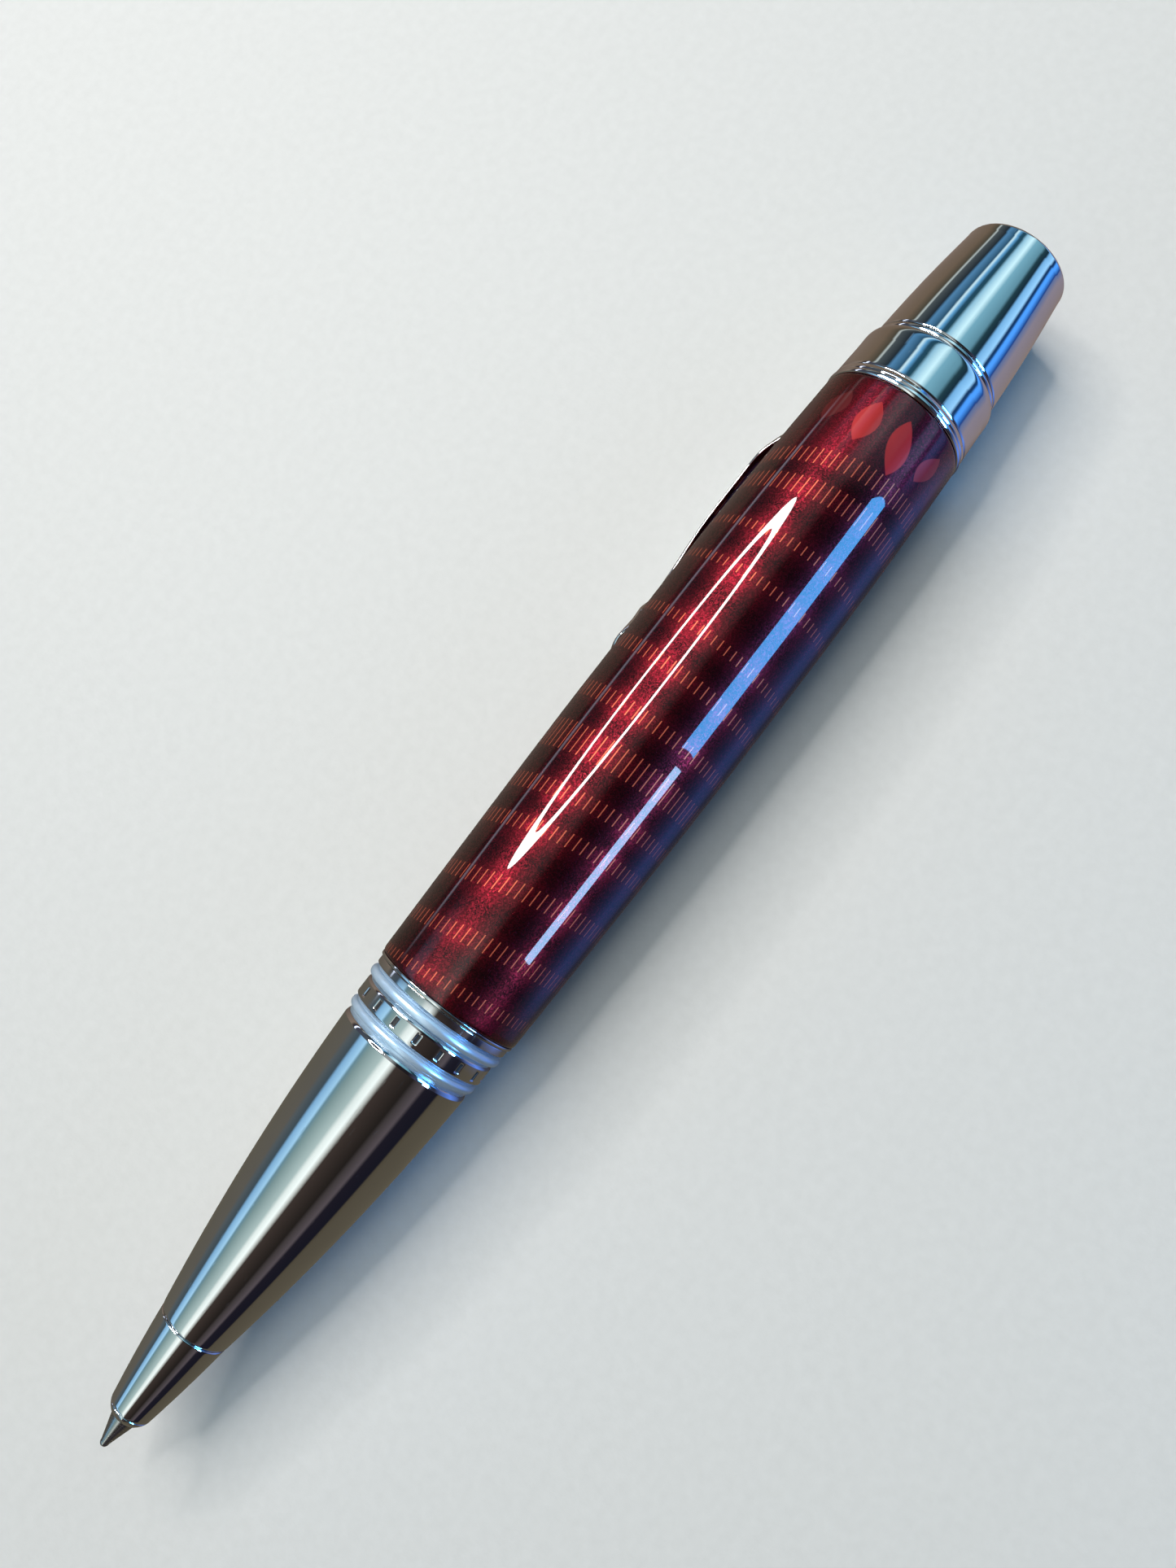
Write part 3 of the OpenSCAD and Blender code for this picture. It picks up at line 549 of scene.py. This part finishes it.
def flake_lacquer():
    """s, the angle round the pen and the bend of the rows give every mark its place. The rows of dashes
    bend towards the nib on the clip side, by an amount that swings along the barrel."""
    paint = Finish("flake_lacquer")
    s, y, z = paint.place_on_pen()
    angle = s.math("ARCTAN2", y, z)
    swing = -1.3 - ((s - 57.0) * (2 * math.pi / 50.0)).cos() * 1.9
    side = ((angle + math.radians(10)).sin() + 1.0) * 0.5
    row_s = s - swing * side * side

    # rows: centre and length of each ring of dashes, in mm
    rows = [(48.1, 1.2), (52.6, 1.3), (57.9, 1.45), (63.3, 1.25), (66.4, 1.25), (70.6, 2.3), (74.3, 1.2),
            (78.7, 1.25), (82.6, 1.05), (89.2, 1.0), (93.7, 1.2), (99.2, 2.0), (102.6, 1.9)]
    span = barrel_end - barrel_start
    along = (row_s - barrel_start) / span
    edges = [((centre + side * length / 2 - barrel_start) / span, (1.0 if side < 0 else 0.0))
             for centre, length in rows for side in (-1, 1)]
    in_row = paint.add("ShaderNodeValToRGB", {"stops": [(0.0, 0.0), *edges], "interpolation": "CONSTANT"},
                       {0: along})
    dash_count = 68
    lap = angle * (dash_count / (2 * math.pi)) + 0.25
    dash = ((0.095 - abs(lap.fraction() - 0.5)) * 20.0).clamped() * in_row

    # painted light: the ground is painted redder beside the rows and nearly black between them, as painted
    # sheen and shade of the facets between the rows
    centres = [centre for centre, length in rows]
    middles = [(a + b) / 2 for a, b in zip(centres, centres[1:])]
    painted_facet_stops = [((c - barrel_start) / span, 1.0) for c in centres]
    painted_facet_stops += [((m - barrel_start) / span, 0.0) for m in middles]
    painted_facet_light = paint.add("ShaderNodeValToRGB", {"stops": painted_facet_stops, "interpolation": "EASE"}, {0: along})

    # leaves: a ring of pointed leaves near the collar, each a little brighter or darker than the next
    leaf_count, leaf_s, leaf_long = 13, 106.1, 2.2
    leaf_lap = angle * (leaf_count / (2 * math.pi)) + 0.3
    leaf_number = leaf_lap.math("FLOOR", leaf_lap)
    tilt = (leaf_number * 2.4).sin()
    off_s = abs(s - leaf_s - tilt * 0.45) / (leaf_long + (leaf_number * 4.1).sin() * 0.5)
    leaf_wide = 0.32 + (leaf_number * 3.3).sin() * 0.09
    off_lap = abs(leaf_lap.fraction() - 0.5 + (s - leaf_s) * 0.09 * tilt) / leaf_wide
    leaf = ((1.0 - off_s * off_s - off_lap) * 14.0).clamped()
    leaf_light = ((leaf_number * 5.7 + 0.9).sin() * 0.5 + 0.5)

    # flake: fine grains of different reds, each facing its own way under the clear coat
    point = paint.add("ShaderNodeTexCoord").out("Object")
    grains = paint.add("ShaderNodeTexVoronoi", {"feature": "F1"}, {"Vector": point, "Scale": 9000.0})
    grain = paint.add("ShaderNodeSeparateColor", inputs={0: grains.out("Color")})
    glint = grain.out("Red")
    # painted facet sheen and shade: both the dark and the red grains are lighter beside the rows
    dark = paint.blend(painted_facet_light, (0.022, 0.003, 0.004), (0.070, 0.005, 0.008))
    red = paint.blend(painted_facet_light, (0.15, 0.008, 0.016), (0.27, 0.011, 0.024))
    ground = paint.blend(glint * glint, dark, red)
    colour = paint.blend(dash, ground, (0.66, 0.12, 0.055))
    bright = leaf_light * leaf_light * leaf_light * leaf_light
    leaf_colour = paint.blend(bright, (0.035, 0.001, 0.003), (0.50, 0.010, 0.008))
    colour = paint.blend(leaf, colour, leaf_colour)
    marks = (dash + leaf).clamped()
    rough = (0.42 - glint * 0.12) * (1.0 - marks) + marks * 0.42
    return paint.finish(
        Base_Color=colour, Metallic=1.0 - marks * 0.45, Roughness=rough, Coat_Weight=1.0,
        Coat_Roughness=0.015, Coat_IOR=1.5, Normal=paint.bump(glint * (1.0 - marks), 0.35, 0.00001))


shell_s = np.linspace(barrel_start + 0.35, barrel_end - 0.3, 150)
shell_first, shell_last = barrel_curve(barrel_start), barrel_curve(barrel_end)
shell = turned("lacquered_barrel", np.concatenate([
    [(barrel_start, 6.45), (barrel_start, shell_first - 0.22), (barrel_start + 0.04, shell_first - 0.11),
     (barrel_start + 0.14, shell_first - 0.03)],
    np.stack([shell_s, barrel_curve(shell_s)], axis=1),
    [(barrel_end - 0.12, shell_last - 0.02), (barrel_end - 0.03, shell_last - 0.09),
     (barrel_end, shell_last - 0.18), (barrel_end, 6.45)]]),
    "barrel", ["barrel_shell"], flake_lacquer(), steps=320)

# ---------------------------------------------------------------------------------------------------
# Clip ring and collar: the ring is clamped between barrel and collar and carries the lug that the
# clip springs from; both are turned brass under chrome.
clip_w, clip_bow_h, clip_t, clip_dome = 4.6, 10.8, 1.25, 3.2
clip_root_s, clip_tip_s, clip_root_h = 110.0, 79.0, 7.75
edge_h = clip_bow_h - clip_dome + math.sqrt(clip_dome ** 2 - clip_w ** 2 / 4)
clip_lean = math.atan(clip_w / 2 / edge_h) + math.acos(barrel_r / math.hypot(edge_h, clip_w / 2))


def strip(s, half, top, low, flat=1.0, around=48):
    """Section of the clip at each s: y = half sin a on both faces. The outer face follows its dome, the
    inner one is flat, and both round off into the edge as cos a to a small power."""
    a = np.linspace(-np.pi, np.pi, around, endpoint=False)[None, :]
    s, half, top, low = (np.asarray(v, dtype=float)[:, None] for v in (s, half, top, low))
    flat = np.broadcast_to(np.asarray(flat, dtype=float), s[:, 0].shape)[:, None]
    fold = np.where(a < 0, -np.pi / 2 - a, a - np.pi / 2)
    y = half * np.sin(fold)
    drop = (clip_dome - np.sqrt(clip_dome ** 2 - y ** 2)) * flat
    edge_drop = (clip_dome - np.sqrt(clip_dome ** 2 - half ** 2)) * flat
    middle = (top - edge_drop + low) / 2
    soft = np.abs(np.cos(fold)) ** 0.3
    outer = middle + (top - drop - middle) * soft
    inner = middle - (middle - low) * soft
    return np.stack([s + 0 * a, y, np.where(a >= 0, outer, inner)], axis=-1)


def swept(name, rings, body, nodes, finish):
    """Closed skin over rings of (s, y, h) points, turned about the pen's axis to the clip's side."""
    if rings[0, 0, 0] > rings[-1, 0, 0]:
        rings = rings[::-1]
    count, around = rings.shape[:2]
    s, y, h = np.moveaxis(rings, -1, 0)
    place = np.stack([s, h * math.sin(clip_lean) + y * math.cos(clip_lean),
                      y * math.sin(clip_lean) - h * math.cos(clip_lean)], axis=-1).reshape(-1, 3)
    place = place * MM + (tip_x, axis_y, axis_z)
    i, j = np.meshgrid(np.arange(count - 1), np.arange(around), indexing="ij")
    j2 = (j + 1) % around
    row, row2 = i * around, (i + 1) * around
    faces = np.stack([row + j, row + j2, row2 + j2, row2 + j], axis=-1)
    caps = [list(range(around))[::-1], [(count - 1) * around + k for k in range(around)]]
    mesh = bpy.data.meshes.new(name)
    mesh.from_pydata(place.tolist(), [], faces.reshape(-1, 4).tolist() + caps)
    mesh.shade_smooth()
    mesh.materials.append(finish)
    piece = bpy.data.objects.new(name, mesh)
    bpy.context.scene.collection.objects.link(piece)
    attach(piece, body)
    if nodes:
        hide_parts(*nodes)
    return piece


ring_r = 6.98
ring = turned("clip_ring_band", np.concatenate([
    [(barrel_end + 0.02, 5.92)], bead(ring_r - 0.1, ring_r + 0.12, barrel_end + 0.04, barrel_end + 0.6),
    [(barrel_end + 0.72, ring_r), (barrel_end + 1.08, ring_r), (barrel_end + 1.1, 5.92)]]),
    "barrel", ["clip_ring"], chrome_finish, steps=224)

lug_t = np.linspace(0, 1, 24)
lug_top = 8.22 - 0.9 * (lug_t ** 2 * (3 - 2 * lug_t))
lug_rings = strip(barrel_end + 0.56 + 1.85 * lug_t, 1.62 - 0.1 * lug_t, lug_top, 0 * lug_t + 6.4)
lug = swept("clip_lug", lug_rings, "barrel", [], chrome_finish)

collar_start = barrel_end + 1.12
knob_seam = 116.1
collar_arc = np.radians(np.linspace(0, 80, 12))
collar = turned("collar_sleeve", np.concatenate([
    [(collar_start, 5.92), (collar_start, 6.89), (collar_start + 0.02, 6.93),
     (collar_start + 0.08, 6.95)],
    np.linspace((collar_start + 0.3, 6.948), (knob_seam - 1.8, 6.80), 20),
    np.stack([knob_seam - 0.9 * (1 - np.sin(collar_arc)),
              6.78 - 0.35 * (1 - np.cos(collar_arc))], axis=1),
    [(knob_seam, 6.38), (knob_seam, 5.3), (knob_seam - 0.35, 5.3), (knob_seam - 0.35, 5.92)]]),
    "barrel", ["collar"], chrome_finish, steps=224)


# ---------------------------------------------------------------------------------------------------
# Clip: a sprung bow with a domed outer face that sinks to a flatter, rounded paddle; the foot under the
# paddle rests on the barrel. Stamped, polished and chromed.
def ease(t):
    """Smooth step: 3t^2 - 2t^3 with t held between 0 and 1."""
    t = np.clip(t, 0, 1)
    return t * t * (3 - 2 * t)


clip_path = np.concatenate([np.linspace(0, 0.9, 110), np.linspace(0.904, 1.0, 40)])
clip_top = (clip_root_h + 0.5 + (clip_bow_h - clip_root_h - 0.5) * ease(clip_path / 0.24)
            - (clip_bow_h - 9.95) * ease((clip_path - 0.42) / 0.42))
clip_thick = (clip_t - 0.25 * (1 - ease(clip_path / 0.12)) - 0.3 * ease((clip_path - 0.92) / 0.08)
              + 1.05 * (1 - ease(np.abs(clip_path - 0.87) / 0.07)))
clip_half = 1.6 + (clip_w / 2 - 1.6) * ease(clip_path / 0.28) - 0.3 * ease((clip_path - 0.5) / 0.28)
clip_half += 0.55 * ease((clip_path - 0.79) / 0.05)
clip_half *= np.sqrt(np.maximum(0.04, 1 - np.maximum(0, (clip_path - 0.93) / 0.0715) ** 2))
clip_flat = 1 - 0.4 * ease((clip_path - 0.77) / 0.06)
clip_s = clip_root_s + (clip_tip_s - clip_root_s) * clip_path
body_rings = strip(clip_s, clip_half, clip_top, clip_top - clip_thick, clip_flat)
knuckle = np.radians(np.linspace(80, 8, 10))
knuckle_r, root_half = 0.5, 1.6
root_rings = strip(clip_root_s + knuckle_r * np.sin(knuckle), 0 * knuckle + root_half,
                   clip_root_h + knuckle_r * np.cos(knuckle), clip_root_h - knuckle_r * np.cos(knuckle),
                   np.cos(knuckle))
clip = swept("pocket_clip", np.concatenate([root_rings, body_rings]), "clip", ["clip"], chrome_finish)

# ---------------------------------------------------------------------------------------------------
# Knob: a thin bright ring at its base, the tapered body with a rounded shoulder, and a flat end cap,
# all turned and chromed; they turn together.
knob_base_r, knob_tip_r, cap_r, pen_len = 6.3, 5.2, 4.4, 130.0
knob_start, knob_round = knob_seam + 0.65, pen_len - 1.2

foot_start, foot_end = knob_seam + 0.1, knob_start - 0.06
base_ring = turned("knob_foot_ring", np.concatenate([
    [(foot_start, 4.95)], bead(knob_base_r - 0.1, knob_base_r + 0.06, foot_start, foot_end),
    [(foot_end, 4.95)]]), "knob", ["knob_base_ring"], chrome_finish, steps=224)

knob_t = np.linspace(0.02, 1, 60)
knob_s = knob_start + (knob_round - knob_start) * knob_t
knob_line = knob_base_r * (1 - knob_t) + knob_tip_r * knob_t + 0.12 * np.sin(np.pi * knob_t)
shoulder = np.radians(np.linspace(12, 84, 10))
shoulder_s = pen_len - 0.75
knob = turned("tapered_knob", np.concatenate([
    [(knob_start, 4.92), (knob_start, knob_base_r - 0.08), (knob_start + 0.05, knob_base_r - 0.01)],
    np.stack([knob_s, knob_line], axis=1),
    np.stack([shoulder_s + 0.55 * np.sin(shoulder),
              knob_tip_r - 0.03 - 0.58 * (1 - np.cos(shoulder))], axis=1),
    [(pen_len - 0.2, cap_r + 0.1), (pen_len - 0.22, cap_r + 0.02), (128.2, cap_r + 0.02), (128.2, 3.9),
     (127.3, 3.9), (126.8, 4.92)]]), "knob", ["twist_knob"], chrome_finish, steps=256)

cap_corner = np.radians(np.linspace(0, 90, 8))
cap = turned("knob_cap", np.concatenate([
    [(126.4, 0), (126.4, 1.5), (128.22, 1.5), (128.22, cap_r)],
    np.stack([pen_len - 0.3 + 0.3 * np.sin(cap_corner), cap_r - 0.3 + 0.3 * np.cos(cap_corner)], axis=1),
    [(pen_len, 2.0), (pen_len, 0)]]), "knob", ["knob_end_cap"], chrome_finish, steps=192)


# ---------------------------------------------------------------------------------------------------
# Works inside: the refill, the spring, the threaded sleeve and the twist mechanism keep their CAD
# shapes and get their real finishes, since the front section unscrews and shows some of them.
def turned_brass():
    """Bare brass with lathe lines round it and a slight tarnish."""
    brass = Finish("turned_brass")
    lines = brass.noise(3200.0, 2.0, (4.0, 0.5, 0.5))
    tarnish = brass.noise(260.0, 3.0)
    return brass.finish(
        Base_Color=brass.blend(tarnish, (0.72, 0.50, 0.20), (0.58, 0.38, 0.14)), Metallic=1.0,
        Roughness=0.22 + lines * 0.2, Normal=brass.bump(lines, 0.3, 0.00002))


def moulded_plastic(name, low, high, rough):
    """Moulded plastic with a fine matt skin and slight clouding."""
    plastic = Finish(name)
    skin = plastic.noise(4000.0, 2.0)
    cloud = plastic.noise(300.0, 2.0)
    return plastic.finish(Base_Color=plastic.blend(cloud, low, high), Roughness=rough + skin * 0.15,
                          Normal=plastic.bump(skin, 0.15, 0.00001))


inside = {
    "brass": (turned_brass(), ["front_coupler", "mechanism_tube", "rear_bush", "knob_insert"]),
    "steel": (steel_finish, ["refill_tube", "cross_pin", "return_spring", "retaining_ring", "cam_sleeve"]),
    "plastic": (moulded_plastic("ivory_plastic", (0.70, 0.68, 0.62), (0.78, 0.76, 0.70), 0.35),
                ["refill_nose", "follower", "refill_guide", "refill_plug", "barrel_liner"]),
    "rubber": (moulded_plastic("black_rubber", (0.012, 0.012, 0.013), (0.03, 0.03, 0.032), 0.6),
               ["front_o_ring", "friction_ring"]),
    "ink": (moulded_plastic("pen_ink", (0.006, 0.008, 0.03), (0.012, 0.015, 0.05), 0.1), ["ink_column"]),
    "grease": (moulded_plastic("clear_grease", (0.70, 0.62, 0.40), (0.78, 0.70, 0.48), 0.15),
               ["ink_seal"]),
}
for finish, names in inside.values():
    for name in names:
        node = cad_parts[name]
        node.data.materials.clear()
        node.data.materials.append(finish)
